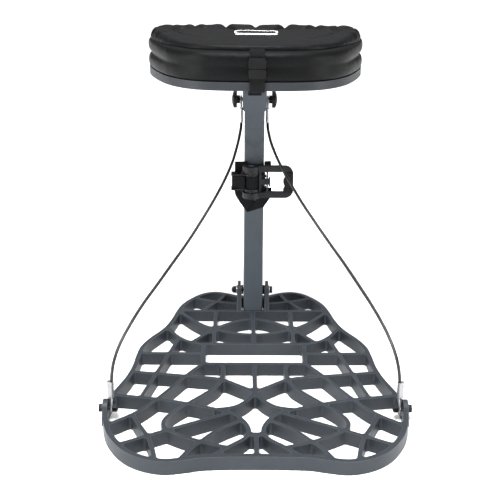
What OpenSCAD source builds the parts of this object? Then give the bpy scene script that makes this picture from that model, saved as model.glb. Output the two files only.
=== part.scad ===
// Hang-on tree stand: cast foot platform, folding post, flip-up padded seat,
// two suspension cables and a ratchet strap. Millimetres, +Z up, +Y towards the tree.
// The origin is on the floor, under the middle of the platform.

/* [Platform] */
// Height of the cast ribs and rim
deck_h = 23; // [20:1:24]
// Thickness of the inner ribs
rib_t = 7; // [5.5:0.5:7.5]
// Thickness of the outer rim
rim_t = 8.5; // [7:0.5:9]
// Radius of the fillets where ribs meet
rib_fillet = 4.5; // [3:0.5:5]

/* [Post] */
// Width of the post tube
post_w = 39; // [36:1:39]
// Depth of the post tube
post_d = 50; // [44:1:50]
// Wall of the post tube
post_wall = 3; // [2.5:0.5:4]
// Height of the hinge between platform and post
hinge_z = 58; // [58:1:62]
// Height of the seat pivot
pivot_z = 457; // [440:1:480]

/* [Seat] */
// Height of the underside of the seat pan
pan_z = 521; // [515:1:530]
// Height of the pan's side wall
pan_h = 14; // [12:1:18]
// Height of the lower cushion block
base_pad_h = 43; // [36:1:50]
// Height of the upper cushion pad
top_pad_h = 26; // [20:1:32]
// Width of the cushion strap
seat_strap_w = 25; // [20:1:25]

/* [Hardware] */
// Diameter of the hinge bolt, pivot stud and cable bolts
bolt_d = 8; // [8:1:8]
// Diameter of the coated suspension cable
cable_d = 5.5; // [4.5:0.5:6]
// Width of the ratchet strap's webbing
web_w = 25; // [22:1:26]
// Height of the middle of the ratchet
ratchet_z = 303; // [300:1:305]

/* [Hidden] */

$fn = 48;
fit = 0.05;             // radial running clearance of a pin in its bore
air = 0.4;              // gap between faces that slide past each other
bolt_r = bolt_d / 2;
rear_bar_y = 229.5;     // middle of the platform's rear cross bar
post_front = 4;         // post's front face behind the rear cross bar
hinge_y = post_front + post_d / 2;
lug_in = 23.5;          // inner and outer faces of the hinge lugs
lug_out = 33;
lug_top_r = 18;
ear_y = -400;           // cable ears, measured from the rear cross bar
ear_z = 22;
ear_r = 15;
ear_t = 8;
ear_out = 250;
eye_x = 237;            // plane of the lower cable eyes
wire_r = 1.9;           // bare wire rope in the eyes
eye_r = bolt_r + wire_r + 0.3;
hex_r = 7.5;            // half the width across corners of an M8 hexagon
slate = [0.29, 0.32, 0.35];
coal = [0.10, 0.10, 0.11];
ink = [0.06, 0.06, 0.07];
silver = [0.75, 0.76, 0.77];

// ---------- curves ----------
function spline_point(a, b, c, d, t) =
    0.5 * (2 * b + (c - a) * t + (2 * a - 5 * b + 4 * c - d) * t * t
    + (3 * b - 3 * c + d - a) * t * t * t);

function open_spline(p, n) = let (last = len(p) - 1) concat(
    [for (i = [0 : last - 1], k = [0 : n - 1])
        spline_point(p[max(i - 1, 0)], p[i], p[i + 1], p[min(i + 2, last)], k / n)],
    [p[last]]);

function closed_spline(p, n) = let (m = len(p))
    [for (i = [0 : m - 1], k = [0 : n - 1])
        spline_point(p[(i + m - 1) % m], p[i], p[(i + 1) % m], p[(i + 2) % m], k / n)];

function mirrored(p) = [for (i = [len(p) - 2 : -1 : 1]) [-p[i][0], p[i][1]]];

function unit(v) = v / norm(v);

function side_step(p, i) = let (
    a = p[max(i - 1, 0)],
    b = p[min(i + 1, len(p) - 1)],
    d = unit(b - a)) [-d[1], d[0]];

// A band of even thickness along a line of points
module band(p, t) {
    polygon(concat(
        [for (i = [0 : len(p) - 1]) p[i] + side_step(p, i) * t / 2],
        [for (i = [len(p) - 1 : -1 : 0]) p[i] - side_step(p, i) * t / 2]));
}

// Draws its children's (y, z) outline and thickens it along +X from x0
module along_x(x0, t) {
    translate([x0, 0, 0]) rotate([90, 0, 90]) linear_extrude(t) children();
}

module rod_x(x0, x1, r) {
    translate([x0, 0, 0]) rotate([0, 90, 0]) cylinder(h = x1 - x0, r = r);
}

module both_sides() {
    children();
    mirror([1, 0, 0]) children();
}

module from_rear_bar(y = 0, z = 0) {
    translate([0, rear_bar_y + y, z]) children();
}

module hexagon_x(x0, x1) {
    translate([x0, 0, 0]) rotate([0, 90, 0]) cylinder(h = x1 - x0, r = hex_r, $fn = 6);
}

// ---------- platform ----------
half_outline = [
    [0, 78], [28, 80], [52, 93], [80, 102], [106, 93], [128, 68], [146, 36], [156, 0],
    [165, -50], [178, -92], [200, -135], [213, -172], [217, -210], [219, -250],
    [226, -294], [239, -340], [248, -376], [249, -410], [243, -450], [230, -488],
    [206, -526], [176, -550], [140, -561], [106, -556], [74, -549], [0, -547]
];
outline = closed_spline(concat(half_outline, mirrored(half_outline)), 4);

// Ribs of the right half, as lines from end to end; the left half mirrors them
side_ribs = [
    [[126, 70], [80, 50], [30, 38]],
    [[58, 94], [68, 62], [84, 34], [106, 0]],
    [[76, 0], [76, -157]],
    [[172, -76], [158, -105], [144, -128], [124, -147], [95, -160]],
    [[142, -128], [192, -367]],
    [[214, -197], [94, -199]],
    [[95, -157], [92, -240]],
    [[221, -272], [118, -288], [62, -299], [28, -323], [0, -346]],
    [[240, -357], [164, -371], [108, -388], [42, -415], [23, -437], [13, -460],
        [12, -480], [20, -497], [44, -520], [72, -550]],
    [[92, -240], [116, -279], [164, -371], [196, -418], [240, -458]],
    [[61, -240], [55, -270], [62, -318], [83, -350], [107, -380], [132, -411],
        [146, -438], [146, -460], [134, -475], [86, -504], [44, -520]],
    [[0, -346], [12, -373], [35, -397], [68, -405]],
    [[42, -416], [136, -468], [214, -514]],
    [[22, -440], [60, -470], [86, -504], [102, -527], [117, -558]],
    [[200, -422], [184, -458], [169, -489], [159, -521], [151, -558]]
];
// Ribs that cross the middle
middle_ribs = [
    [[-156, 0], [156, 0]],
    [[0, 0], [0, -157]],
    [[-96, -157], [96, -157]],
    [[-93, -240], [93, -240]],
    [[0, -240], [0, -346]],
    [[-14, -481], [14, -481]],
    [[0, -481], [0, -547]],
    [[-150, -5], [-111, -60], [-76, -90], [-37, -109], [0, -115],
        [37, -109], [76, -90], [111, -60], [150, -5]],
    [[-116, -148], [-76, -90], [-38, -56], [0, -42], [38, -56], [76, -90], [116, -148]]
];
post_pocket_w = 2 * lug_in;
notch_inner_y = 70;
tooth_pitch = 11;

module rim_2d() {
    difference() {
        polygon(outline);
        offset(delta = -rim_t) polygon(outline);
    }
}

module rib_2d(p) {
    band(len(p) > 2 ? open_spline(p, 4) : p, rib_t);
}

module grid_2d() {
    intersection() {
        polygon(outline);
        union() {
            for (p = middle_ribs) rib_2d(p);
            for (p = side_ribs) both_sides() rib_2d(p);
            both_sides() translate([lug_in, -rib_t / 2]) square([lug_out - lug_in, 84]);
        }
    }
}

module deck_2d() {
    difference() {
        offset(r = -rib_fillet, $fn = 20) offset(delta = rib_fillet) union() {
            rim_2d();
            grid_2d();
        }
        translate([-lug_in, post_front - 0.5]) square([post_pocket_w, notch_inner_y - post_front]);
    }
    for (i = [-2 : 2]) translate([i * tooth_pitch, 76]) polygon([[-5, 0], [5, 0], [0, 9]]);
}

module lug_profile(top_r) {
    hull() {
        translate([hinge_y, hinge_z]) circle(top_r, $fn = 40);
        translate([-rib_t / 2, 0]) square([58, 20]);
    }
}

module platform_casting() {
    color(slate) from_rear_bar() difference() {
        union() {
            linear_extrude(deck_h) deck_2d();
            both_sides() along_x(lug_in, lug_out - lug_in) lug_profile(9);
            both_sides() along_x(lug_in + 1.8, 6) lug_profile(lug_top_r);
            both_sides() along_x(ear_out - ear_t, ear_t) hull() {
                translate([ear_y, ear_z]) circle(ear_r, $fn = 40);
                translate([ear_y - 22, 0]) square([44, 8]);
            }
        }
        translate([0, hinge_y, hinge_z]) rod_x(-lug_out - 2, lug_out + 2, bolt_r + fit);
        both_sides() translate([0, ear_y, ear_z]) rod_x(ear_out - ear_t - 2, ear_out + 2, bolt_r + fit);
    }
}

washer_t = 1.6;
washer_r = 8;
spacer_t = lug_in - post_w / 2 - 0.6;

module at_hinge() {
    from_rear_bar(hinge_y, hinge_z) children();
}

module hinge_bolt() {
    color(coal) at_hinge() {
        rod_x(-lug_out - 11, lug_out + washer_t, bolt_r);
        hexagon_x(lug_out + washer_t, lug_out + washer_t + 5.3);
    }
}

module hinge_nut() {
    color(coal) at_hinge() difference() {
        union() {
            hexagon_x(-lug_out - washer_t - 6.5, -lug_out - washer_t);
            rod_x(-lug_out - washer_t - 8, -lug_out - washer_t - 6.5, 5.6);
        }
        rod_x(-lug_out - 12, -lug_out, bolt_r);
    }
}

module flat_washer(x0, t, r, hole_r) {
    difference() {
        rod_x(x0, x0 + t, r);
        rod_x(x0 - 1, x0 + t + 1, hole_r);
    }
}

module hinge_washers() {
    color(silver) at_hinge() both_sides() flat_washer(lug_out, washer_t, washer_r, bolt_r + fit);
}

module hinge_spacers() {
    color(ink) at_hinge() both_sides()
        flat_washer(lug_in - spacer_t - 0.1, spacer_t, 9.5, bolt_r + fit);
}

module at_ears() {
    from_rear_bar(ear_y, ear_z) both_sides() children();
}

module cable_bolts() {
    color(coal) at_ears() {
        rod_x(eye_x - 11, ear_out + washer_t, bolt_r);
        hexagon_x(ear_out + washer_t, ear_out + washer_t + 5.3);
        flat_washer(ear_out, washer_t, washer_r, bolt_r);
    }
}

module cable_nuts() {
    color(coal) at_ears() difference() {
        hexagon_x(eye_x - 9.8, eye_x - 2.9);
        rod_x(eye_x - 12, eye_x, bolt_r);
    }
}

// ---------- cable ends: an eye of bare wire round a bolt, and the ferrule on its legs ----------
ferrule_r = 3.4;
ferrule_len = 28;
leg_gap = 2.8;          // half the distance between the two wires inside the ferrule
ferrule_turn = 62;      // how far the lower ferrules twist towards the front
lower_reach = 20;       // from the bolt's axis to the ferrule
upper_reach = 17;
upper_eye_x = 26;

// A round rod from point a to point b
module rod(a, b, r) {
    d = b - a;
    translate(a) rotate([0, acos(d[2] / norm(d)), atan2(d[1], d[0])])
        cylinder(h = norm(d), r = r, $fn = 24);
}

// Where one of the two wires enters the ferrule
function leg_end(s, turn, z) = [s * leg_gap * sin(turn), s * leg_gap * cos(turn), z];

// A loop of wire round the origin with two legs that close up at height reach
module eye(reach, turn) {
    difference() {
        union() {
            rotate([0, 90, 0]) rotate([0, 0, -90]) rotate_extrude(angle = 180)
                translate([eye_r, 0]) circle(wire_r, $fn = 24);
            for (s = [-1, 1]) rod([0, s * eye_r, 0], leg_end(s, turn, reach + 1), wire_r);
        }
        translate([-ear_r, -ear_r, reach]) cube(2 * ear_r);
    }
}

// A double-barrelled swage that starts at height z0
module ferrule(z0, turn) {
    rotate(-turn) {
        for (s = [-1, 1]) translate([0, s * leg_gap, z0]) cylinder(h = ferrule_len, r = ferrule_r);
        translate([0.7 - ferrule_r, -leg_gap, z0])
            cube([2 * ferrule_r - 1.4, 2 * leg_gap, ferrule_len]);
    }
}

module at_lower_eye() {
    from_rear_bar(ear_y, ear_z) translate([eye_x, 0, 0]) children();
}

// Hangs its children upside down from the pivot stud
module at_upper_eye() {
    at_pivot() translate([upper_eye_x, 0, 0]) mirror([0, 0, 1]) children();
}

module lower_eye_right() {
    color(silver) at_lower_eye() eye(lower_reach, ferrule_turn);
}

module lower_ferrule_right() {
    color(silver) at_lower_eye() ferrule(lower_reach, ferrule_turn);
}

module upper_eye_right() {
    color(silver) at_upper_eye() eye(upper_reach, 0);
}

module upper_ferrule_right() {
    color(silver) at_upper_eye() ferrule(upper_reach, 0);
}

module lower_eye_left() { mirror([1, 0, 0]) lower_eye_right(); }
module lower_ferrule_left() { mirror([1, 0, 0]) lower_ferrule_right(); }
module upper_eye_left() { mirror([1, 0, 0]) upper_eye_right(); }
module upper_ferrule_left() { mirror([1, 0, 0]) upper_ferrule_right(); }

// ---------- suspension cables ----------
// Routes from the lower ferrule to the upper one; the left one is drawn on the right side
// and mirrored. The cables are slack and bow outwards by different amounts.
right_route = [
    [234.5, -172, 70.2], [234, -171, 81], [231, -165, 101], [224.5, -150, 123],
    [213, -124, 146], [197, -86, 168], [178, -42, 189], [157.9, 3, 210.4],
    [134.6, 46, 234.4], [111.3, 84, 260.6], [87.2, 120, 289.6], [66.2, 152, 319.1],
    [47.4, 183, 348.5], [33.7, 214, 375.9], [27.9, 241, 394.4], [26.2, 252.5, 404],
    [26, 255.5, 409], [26, 255.7, 411.6]
];
left_route = [
    [234.5, -172, 70.2], [234, -171, 81], [231, -165, 101], [223.5, -150, 123],
    [209.5, -124, 146], [191, -86, 168], [168.5, -42, 189], [145.9, 3, 210.4],
    [121.8, 46, 234.4], [99.6, 84, 260.6], [77.6, 120, 289.6], [58.2, 152, 319.1],
    [42.8, 183, 348.5], [33, 214, 375.9], [28, 241, 394.4], [26.2, 252.5, 404],
    [26, 255.5, 409], [26, 255.7, 411.6]
];
cable_plane = unit([0.88, 0.47, 0]);    // roughly square to both routes all along
cable_sides = 10;

module cable(route) {
    line = open_spline(route, 4);
    last = len(line) - 1;
    ring = function (i) let (
        d = unit(line[min(i + 1, last)] - line[max(i - 1, 0)]),
        u = unit(cross(cable_plane, d)),
        v = cross(d, u))
        [for (k = [0 : cable_sides - 1]) let (a = 360 * k / cable_sides)
            line[i] + cable_d / 2 * (cos(a) * u + sin(a) * v)];
    points = [for (i = [0 : last]) each ring(i)];
    sides = [for (i = [0 : last - 1], k = [0 : cable_sides - 1])
        let (a = i * cable_sides, n = (k + 1) % cable_sides)
        [a + n, a + k, a + cable_sides + k, a + cable_sides + n]];
    caps = [[for (k = [0 : cable_sides - 1]) k],
        [for (k = [cable_sides - 1 : -1 : 0]) last * cable_sides + k]];
    color(ink) polyhedron(points, concat(sides, caps));
}

module cable_right() { cable(right_route); }
module cable_left() { mirror([1, 0, 0]) cable(left_route); }

// ---------- post ----------
post_bottom = 14;
bush_r = 7;
cleat_z = 386;
cleat_h = 44;
cleat_w = 36;
cleat_deep = 30;
cleat_t = 3.2;
cleat_screw_r = 3;
cleat_screw_z = [cleat_z + 11, cleat_z + 33];

module at_post() {
    from_rear_bar(hinge_y) children();
}

module at_pivot() {
    from_rear_bar(hinge_y, pivot_z) children();
}

module rounded_rect(w, d, r) {
    offset(r = r, $fn = 32) square([w - 2 * r, d - 2 * r], center = true);
}

module post_tube() {
    color(slate) at_post() difference() {
        intersection() {
            translate([0, 0, post_bottom]) linear_extrude(pivot_z + post_d) difference() {
                rounded_rect(post_w, post_d, 4);
                rounded_rect(post_w - 2 * post_wall, post_d - 2 * post_wall, 1.5);
            }
            along_x(-post_w, 2 * post_w) union() {
                translate([-post_d, 0]) square([2 * post_d, pivot_z]);
                translate([0, pivot_z]) circle(post_d / 2 - 0.6, $fn = 64);
            }
        }
        translate([0, 0, hinge_z]) rod_x(-post_w, post_w, bush_r);
        translate([0, 0, pivot_z]) rod_x(-post_w, post_w, bolt_r);
        for (z = cleat_screw_z) translate([0, 0, z]) rotate([-90, 0, 0])
            cylinder(h = post_d, r = cleat_screw_r);
    }
}

module hinge_bush() {
    color(silver) at_hinge() flat_washer(-post_w / 2, post_w, bush_r, bolt_r + fit);
}

module post_end_plug() {
    color(ink) at_post() {
        translate([0, 0, post_bottom - 1.5]) linear_extrude(1.5) rounded_rect(post_w - 0.6, post_d - 0.6, 4);
        translate([0, 0, post_bottom]) linear_extrude(12)
            rounded_rect(post_w - 2 * post_wall - 0.2, post_d - 2 * post_wall - 0.2, 1.5);
    }
}

module pivot_stud() {
    color(silver) at_pivot() rod_x(-40, 40, bolt_r);
}

// Toothed channel on the back of the post that bites the bark
module tree_cleat() {
    color(slate) from_rear_bar(post_front + post_d) difference() {
        union() {
            translate([-cleat_w / 2, 0, cleat_z]) cube([cleat_w, cleat_t, cleat_h]);
            both_sides() along_x(cleat_w / 2 - cleat_t, cleat_t) cleat_side();
        }
        for (z = cleat_screw_z) translate([0, -1, z]) rotate([-90, 0, 0])
            cylinder(h = cleat_t + 2, r = cleat_screw_r);
    }
}

module cleat_side() {
    pitch = cleat_h / 5;
    polygon(concat(
        [[0, cleat_z]],
        [for (i = [0 : 4], p = [[cleat_deep - 6, 0], [cleat_deep, pitch / 2]])
            [p[0], cleat_z + i * pitch + p[1]]],
        [[cleat_deep - 6, cleat_z + cleat_h], [0, cleat_z + cleat_h]]));
}

module cleat_screws() {
    color(coal) from_rear_bar(post_front + post_d) for (z = cleat_screw_z) translate([0, 0, z])
        rotate([-90, 0, 0]) {
            translate([0, 0, -9]) cylinder(h = 9 + cleat_t, r = cleat_screw_r);
            translate([0, 0, cleat_t]) cylinder(h = 3.5, r1 = 5.4, r2 = 4, $fn = 32);
        }
}

// ---------- ratchet strap ----------
spool_x = -6;
spool_y = -16;
spool_r = 6.5;
roll_r = 13;
frame_in = 13.5;        // inner face of the frame's flanges above the middle
frame_t = 2.5;
wheel_in = 16.3;
wheel_out = 20;
wheel_r = 15;
wheel_teeth = 12;
cheek_in = 20.4;        // inner face of the handle's cheeks
cheek_out = 32;
handle_reach = 82;
handle_mouth = 63;
pin_x = -33;
pin_y = 3;
pin_r = 3;
web_t = 2;
pawl_tip = wheel_r + 0.4;

module at_ratchet() {
    translate([spool_x, rear_bar_y + spool_y, ratchet_z]) children();
}

// Thickens its children's (x, y) outline from z0 to z1 above the middle, and the same below
module both_cheeks(z0, z1) {
    translate([0, 0, z0]) linear_extrude(z1 - z0) children();
    translate([0, 0, -z1]) linear_extrude(z1 - z0) children();
}

module strap_loop() {
    back = [0, hinge_y];
    pin = [spool_x + pin_x, spool_y + pin_y];
    spool = [spool_x, spool_y];
    side = post_w / 2 + 0.3 + web_t / 2;
    color(ink) from_rear_bar(0, ratchet_z - web_w / 2) linear_extrude(web_w) {
        translate(back) difference() {
            rounded_rect(post_w + 0.6 + 2 * web_t, post_d + 0.6 + 2 * web_t, 6);
            rounded_rect(post_w + 0.6, post_d + 0.6, 4);
        }
        difference() {
            translate(pin) circle(pin_r + 0.2 + web_t);
            translate(pin) circle(pin_r + 0.2);
        }
        band([pin + [-1, pin_r + 1.2], [-side - 4, 4], [-side, 13], [-side, 24]], web_t);
        band([spool + [roll_r + 1.2, -1], spool + [roll_r + 1.2, 5], [side + 1, 2], [side, 12],
            [side, 24]], web_t);
    }
}

// Loose webbing folded flat on the post above and below the ratchet
module strap_tail() {
    color(ink) from_rear_bar(post_front - 0.4) rotate([90, 0, 0]) linear_extrude(web_t) {
        polygon([[-39, 284], [-39, 274], [-23, 244], [-14, 235], [19, 246], [34, 262], [34, 284]]);
        polygon([[-38, 322], [-38, 331], [-34, 337], [-27, 339], [-14, 338], [-13, 333],
            [19, 333], [20, 340], [24, 340], [33, 331], [33, 322]]);
    }
}

module frame_flange() {
    circle(wheel_r - 0.5);
    translate([-39, -7]) square([39, 24.4]);
}

module ratchet_frame() {
    color(coal) at_ratchet() {
        both_cheeks(frame_in, frame_in + frame_t) difference() {
            frame_flange();
            circle(spool_r + fit);
            translate([pin_x, pin_y]) circle(pin_r);
            translate([-27, -3.4]) square([27 - spool_r - 3, 6.8]);
        }
        translate([-14, 15, -frame_in - frame_t]) cube([26, 2.4, 2 * (frame_in + frame_t)]);
    }
}

module anchor_pin() {
    color(silver) at_ratchet() translate([pin_x, pin_y, -18]) {
        cylinder(h = 36, r = pin_r);
        for (z = [0, 34.4]) translate([0, 0, z]) cylinder(h = 1.6, r = pin_r + 2);
    }
}

module ratchet_spool() {
    color(silver) at_ratchet() difference() {
        translate([0, 0, -cheek_out + 0.5]) cylinder(h = 2 * cheek_out - 1, r = spool_r);
        translate([-0.9, -spool_r - 1, -web_w / 2 - 0.4]) cube([1.8, 2 * spool_r + 2, web_w + 0.8]);
    }
}

module webbing_roll() {
    color(ink) at_ratchet() translate([0, 0, -web_w / 2 + 0.2]) difference() {
        cylinder(h = web_w - 0.4, r = roll_r);
        translate([0, 0, -1]) cylinder(h = web_w + 2, r = spool_r);
    }
}

module wheel_2d() {
    step = 360 / wheel_teeth;
    polygon([for (i = [0 : wheel_teeth - 1], p = [[wheel_r, 0], [wheel_r - 2.6, 0.12], [wheel_r - 1.6, 0.55]])
        p[0] * [cos((i + p[1]) * step), sin((i + p[1]) * step)]]);
}

module ratchet_wheels() {
    color(silver) at_ratchet() both_cheeks(wheel_in, wheel_out) difference() {
        wheel_2d();
        circle(spool_r);
    }
}

module lock_pawl() {
    color(silver) at_ratchet() {
        translate([-pawl_tip - 4.5, -3, -wheel_out + 0.1]) cube([4.5, 6, 2 * wheel_out - 0.2]);
        translate([-pawl_tip - 6.5, -3, -8]) cube([2, 6, 16]);
    }
}

// Zigzag leaf spring between two x positions
module leaf_spring(x0, x1, z0, h) {
    n = 8;
    translate([0, 0, z0]) linear_extrude(h)
        band([for (i = [0 : n]) [x0 + (x1 - x0) * i / n, i % 2 == 0 ? -2 : 2]], 0.5);
}

module lock_pawl_spring() {
    color(silver) at_ratchet()
        leaf_spring(pin_x + pin_r + web_t + 0.6, -pawl_tip - 6.9, -4, 8);
}

// The handle's side outline in (x, z): two arms and a rounded grip end
module handle_outline() {
    r = 16;
    difference() {
        union() {
            translate([0, -cheek_out]) square([handle_reach - r, 2 * cheek_out]);
            for (s = [-1, 1]) translate([handle_reach - r, s * (cheek_out - r)]) circle(r);
            translate([handle_reach - r - 1, r - cheek_out]) square([r + 1, 2 * (cheek_out - r)]);
        }
        translate([-1, -cheek_in]) square([handle_mouth + 1, 2 * cheek_in]);
    }
}

bridge_x = 30;
stem_h = 6;

module ratchet_handle() {
    color(coal) at_ratchet() difference() {
        union() {
            rotate([90, 0, 0]) translate([0, 0, -6]) linear_extrude(12) difference() {
                handle_outline();
                translate([handle_mouth - 1, -cheek_in]) square([6.5, 2 * cheek_in]);
                translate([handle_reach - 4.5, -cheek_in]) square([6, 2 * cheek_in]);
            }
            both_cheeks(cheek_in, cheek_out) circle(17);
            translate([bridge_x, -6, -cheek_in - 1]) cube([3, 12, 2 * cheek_in + 2]);
        }
        translate([0, 0, -cheek_out - 1]) cylinder(h = 2 * cheek_out + 2, r = spool_r + fit);
        translate([bridge_x - 1, -3.3, -stem_h - 0.3]) cube([5, 6.6, 2 * stem_h + 0.6]);
    }
}

module handle_grip() {
    finger_r = 9;
    bar = [handle_mouth + 5.5, handle_reach - 4.5];
    color(ink) at_ratchet() difference() {
        rotate([90, 0, 0]) translate([0, 0, -8.5]) linear_extrude(17) difference() {
            translate([handle_mouth, -cheek_in + 0.1]) square([handle_reach - handle_mouth, 2 * cheek_in - 0.2]);
            for (s = [-1, 1]) translate([handle_mouth - finger_r + 2.5, s * 9.5]) circle(finger_r);
        }
        translate([bar[0], -6, -cheek_in]) cube([bar[1] - bar[0], 12, 2 * cheek_in]);
    }
}

module drive_pawl() {
    color(silver) at_ratchet() {
        translate([pawl_tip, -3, -wheel_out + 0.1]) cube([4.5, 6, 2 * wheel_out - 0.2]);
        translate([pawl_tip + 4.5, -3, -stem_h]) cube([15, 6, 2 * stem_h]);
        translate([pawl_tip + 19.5, -5, -9]) cube([2.5, 10, 18]);
    }
}

module drive_pawl_spring() {
    color(silver) at_ratchet() for (z = [-14, 8])
        leaf_spring(pawl_tip + 4.9, bridge_x - 0.4, z, 6);
}

// ---------- knobs ----------
knob_in = 28.3;         // inner face of the right knob
knob_r = 16.5;
knob_lobes = 6;

module knob_right() {
    color(ink) at_pivot() difference() {
        union() {
            rod_x(knob_in, knob_in + 6.5, 8);
            intersection() {
                translate([knob_in + 6, 0, 0]) rotate([0, 90, 0]) linear_extrude(12) difference() {
                    circle(knob_r);
                    for (i = [0 : knob_lobes - 1]) rotate(i * 360 / knob_lobes)
                        translate([knob_r + 3.2, 0]) circle(5);
                }
                translate([knob_in - 22, 0, 0]) sphere(r = 38, $fn = 64);
            }
        }
        rod_x(knob_in - 1, 40.5, bolt_r + fit);
    }
}

module knob_left() { mirror([1, 0, 0]) knob_right(); }

// ---------- seat ----------
half_seat = [
    [0, -252], [64, -249], [112, -233], [152, -188], [182, -112], [195, -48],
    [188, -4], [160, 14], [90, 18], [0, 18]
];
seat_line = closed_spline(concat(half_seat, mirrored(half_seat)), 4);
yoke_in = post_w / 2 + air;
yoke_t = 3.2;
web_back = -post_d / 2 - air;           // the yoke's front web, from the pivot
web_front = web_back - 3.9;
skin_t = 3;
flange_t = 4;
flange_w = 92;
flange_y = [-143, 10];                  // from the rear cross bar
screw_x = 36;
screw_y = [-122, -32];
screw_r = 3;
pad_gap = 0.2;

module seat_2d() {
    polygon(seat_line);
}

module yoke_side(top) {
    circle(16);
    polygon([[web_front, -15], [-4, -15.5], [15, -5], [14, 20], [-19, 58], [-19, top], [web_front, top]]);
    polygon([[web_front, 20], [-170, top - 16], [-170, top], [web_front, top]]);
}

module seat_yoke() {
    top = pan_z + pan_h - skin_t - pivot_z;
    half = yoke_in + yoke_t;
    color(slate) at_pivot() difference() {
        union() {
            both_sides() along_x(yoke_in, yoke_t) yoke_side(top);
            translate([0, web_back, 0]) rotate([90, 0, 0]) linear_extrude(web_back - web_front)
                polygon([[-half, top], [half, top], [half, -15], [yoke_in - 1, -19], [yoke_in - 1, -49],
                    [1 - yoke_in, -49], [1 - yoke_in, -19], [-half, -15]]);
            translate([-flange_w / 2, flange_y[0] - hinge_y, top - flange_t])
                cube([flange_w, flange_y[1] - flange_y[0], flange_t]);
        }
        rod_x(-half - 1, half + 1, bolt_r + fit);
        for (x = [-screw_x, screw_x], y = screw_y) translate([x, y - hinge_y, top - 2 * flange_t])
            cylinder(h = 3 * flange_t, r = screw_r);
    }
}

pan_ribs = [
    [[50, -60], [200, -60]], [[50, -100], [190, -140]], [[30, -148], [120, -240]],
    [[0, -148], [0, -250]], [[50, -20], [190, 0]], [[110, 20], [110, -260]]
];

module seat_pan() {
    color(slate) from_rear_bar(0, pan_z) difference() {
        union() {
            linear_extrude(pan_h) difference() {
                seat_2d();
                offset(delta = -5) seat_2d();
            }
            translate([0, 0, pan_h - skin_t]) linear_extrude(skin_t) seat_2d();
            translate([0, 0, 3]) linear_extrude(pan_h - 3) intersection() {
                seat_2d();
                for (p = pan_ribs) both_sides() band(p, 4);
            }
        }
        for (x = [-screw_x, screw_x], y = screw_y) translate([x, y, 0]) cylinder(h = 2 * pan_h, r = screw_r);
    }
}

module seat_screws() {
    under = pan_h - skin_t - flange_t;
    color(coal) from_rear_bar(0, pan_z) for (x = [-screw_x, screw_x], y = screw_y) translate([x, y, 0]) {
        translate([0, 0, under]) cylinder(h = pan_h - under - 0.2, r = screw_r);
        translate([0, 0, under - 3.2]) cylinder(h = 3.2, r = 5.2);
    }
}

module cushion_base() {
    color(ink) from_rear_bar(0, pan_z + pan_h + pad_gap) linear_extrude(base_pad_h - pad_gap)
        offset(r = 2) seat_2d();
}

module cushion_top() {
    color(ink) from_rear_bar(0, pan_z + pan_h + base_pad_h + pad_gap)
        linear_extrude(top_pad_h - pad_gap) offset(r = -4) seat_2d();
}

// The strap comes out of the front seam, down over the pan's lip, back under the pan and
// down the front of the yoke
module cushion_strap() {
    seam = pan_z + pan_h + base_pad_h;
    face = -255.3;
    under = pan_z - 1.4;
    color(ink) from_rear_bar() along_x(-seat_strap_w / 2, seat_strap_w)
        band([[-250, seam + 1.4], [face + 0.6, seam + 1.4], [face, seam - 1], [face, under + 1],
            [face + 1.2, under], [-8, under], [-2.2, under - 4], [-2.2, 470]], 1.6);
}

buckle_top = 576;
buckle_mid = 559;
buckle_bottom = 543;
buckle_back = -256.4;

// A rounded slab standing on the front of the strap
module buckle_slab(w, z0, z1, t, r) {
    from_rear_bar(buckle_back) translate([0, 0, (z0 + z1) / 2]) rotate([90, 0, 0])
        linear_extrude(t) rounded_rect(w, z1 - z0, r);
}

module buckle_socket() {
    color(coal) difference() {
        buckle_slab(28, buckle_mid + 0.2, buckle_top, 9, 3);
        from_rear_bar(buckle_back - 6.5) translate([-9, 0, buckle_mid - 1]) cube([18, 4, 13]);
    }
}

module buckle_plug() {
    color(coal) {
        buckle_slab(28, buckle_bottom, buckle_mid, 8, 3);
        for (s = [-1, 1]) from_rear_bar(buckle_back - 6.2)
            translate([s * 6 - 2, 0, buckle_mid - 1]) cube([4, 3.4, 11]);
    }
}

platform_casting();
hinge_bolt();
hinge_nut();
hinge_washers();
hinge_spacers();
cable_bolts();
cable_nuts();
lower_eye_left();
lower_eye_right();
lower_ferrule_left();
lower_ferrule_right();
post_tube();
hinge_bush();
post_end_plug();
pivot_stud();
tree_cleat();
cleat_screws();
upper_eye_left();
upper_eye_right();
upper_ferrule_left();
upper_ferrule_right();
cable_left();
cable_right();
strap_loop();
strap_tail();
ratchet_frame();
anchor_pin();
lock_pawl();
lock_pawl_spring();
ratchet_spool();
webbing_roll();
ratchet_wheels();
ratchet_handle();
handle_grip();
drive_pawl();
drive_pawl_spring();
knob_left();
knob_right();
seat_yoke();
seat_pan();
seat_screws();
cushion_base();
cushion_top();
cushion_strap();
buckle_socket();
buckle_plug();
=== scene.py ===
"""Looks of the hang-on tree stand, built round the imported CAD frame. Metres, +Z up, +Y towards the tree."""
import math

import bmesh
import bpy
import numpy as np
from mathutils import Matrix, Vector, noise


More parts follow.
